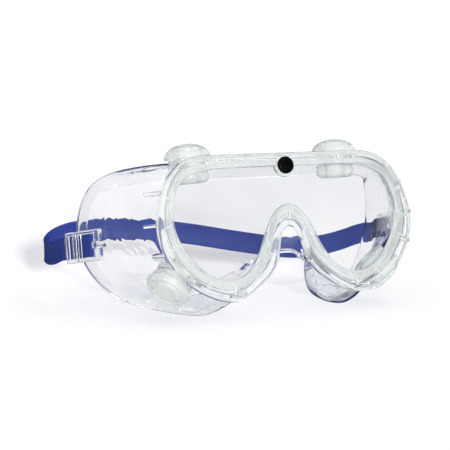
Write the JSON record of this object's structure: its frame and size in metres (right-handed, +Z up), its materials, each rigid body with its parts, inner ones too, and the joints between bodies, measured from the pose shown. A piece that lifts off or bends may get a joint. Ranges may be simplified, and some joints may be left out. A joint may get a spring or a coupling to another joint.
{
  "type": "safety goggles",
  "caption": "Clear chemical splash goggles with a soft one-piece body, flat lens, round capped vents, swivelling strap buckles and an elastic headband.",
  "frame": {"origin": "centre of the whole box in X and Y, with the table the goggles rest on at Z = 0", "axes": "+X to the wearer's left, +Y from the lens to the back of the headband, +Z up"},
  "size_m": [0.1914, 0.1146, 0.0839],
  "materials": {
    "clear_vinyl": "clear soft vinyl, glossy",
    "clear_lens": "clear polished plate",
    "black_plastic": "black, slight sheen",
    "milky_plastic": "milky translucent",
    "clear_plastic": "clear hard plastic, glossy",
    "blue_rubber": "smooth elastic, satin"
  },
  "bodies": {
    "goggle": {"goggle_body": "clear_vinyl", "lens": "clear_lens", "vent_base_top_left": "milky_plastic", "vent_base_top_right": "milky_plastic", "vent_base_lower_left": "milky_plastic", "vent_base_lower_right": "milky_plastic"},
    "vent_cap_top_left": {"vent_cap_top_left": "milky_plastic"},
    "vent_cap_top_right": {"vent_cap_top_right": "milky_plastic"},
    "vent_cap_lower_left": {"vent_cap_lower_left": "milky_plastic"},
    "vent_cap_lower_right": {"vent_cap_lower_right": "milky_plastic"},
    "brow_button": {"brow_button": "black_plastic"},
    "buckle_right": {"buckle_right": "clear_plastic", "strap_end_right": "blue_rubber"},
    "buckle_left": {"buckle_left": "clear_plastic", "strap_end_left": "blue_rubber"},
    "headband": {"headband": "blue_rubber"}
  },
  "joints": [
    {"name": "buckle_right_swivel", "type": "hinge", "parent": "goggle", "child": "buckle_right", "pos_m": [-0.0859, -0.00853, 0.0356], "axis": [1, 0, 0], "range_deg": [-20, 60]},
    {"name": "buckle_left_swivel", "type": "hinge", "parent": "goggle", "child": "buckle_left", "pos_m": [0.0859, -0.00853, 0.0356], "axis": [1, 0, 0], "range_deg": [-20, 60]},
    {"name": "headband_stretch", "type": "slide", "parent": "buckle_right", "child": "headband", "axis": [0, 1, 0], "range_m": [0, 0.03]},
    {"name": "vent_cap_top_left_pull", "type": "slide", "parent": "goggle", "child": "vent_cap_top_left", "axis": [0.03, 0.17, 0.985], "range_m": [0, 0.015]},
    {"name": "vent_cap_top_right_pull", "type": "slide", "parent": "goggle", "child": "vent_cap_top_right", "axis": [-0.03, 0.17, 0.985], "range_m": [0, 0.015]},
    {"name": "vent_cap_lower_left_pull", "type": "slide", "parent": "goggle", "child": "vent_cap_lower_left", "axis": [0.6395, -0.3597, -0.6795], "range_m": [0, 0.015]},
    {"name": "vent_cap_lower_right_pull", "type": "slide", "parent": "goggle", "child": "vent_cap_lower_right", "axis": [-0.6395, -0.3597, -0.6795], "range_m": [0, 0.015]},
    {"name": "brow_button_pull", "type": "slide", "parent": "goggle", "child": "brow_button", "axis": [0, -0.9703, 0.2419], "range_m": [0, 0.012]}
  ],
  "couplings": [
    {"joint": "buckle_left_swivel", "follows": "buckle_right_swivel", "ratio": 1}
  ]
}
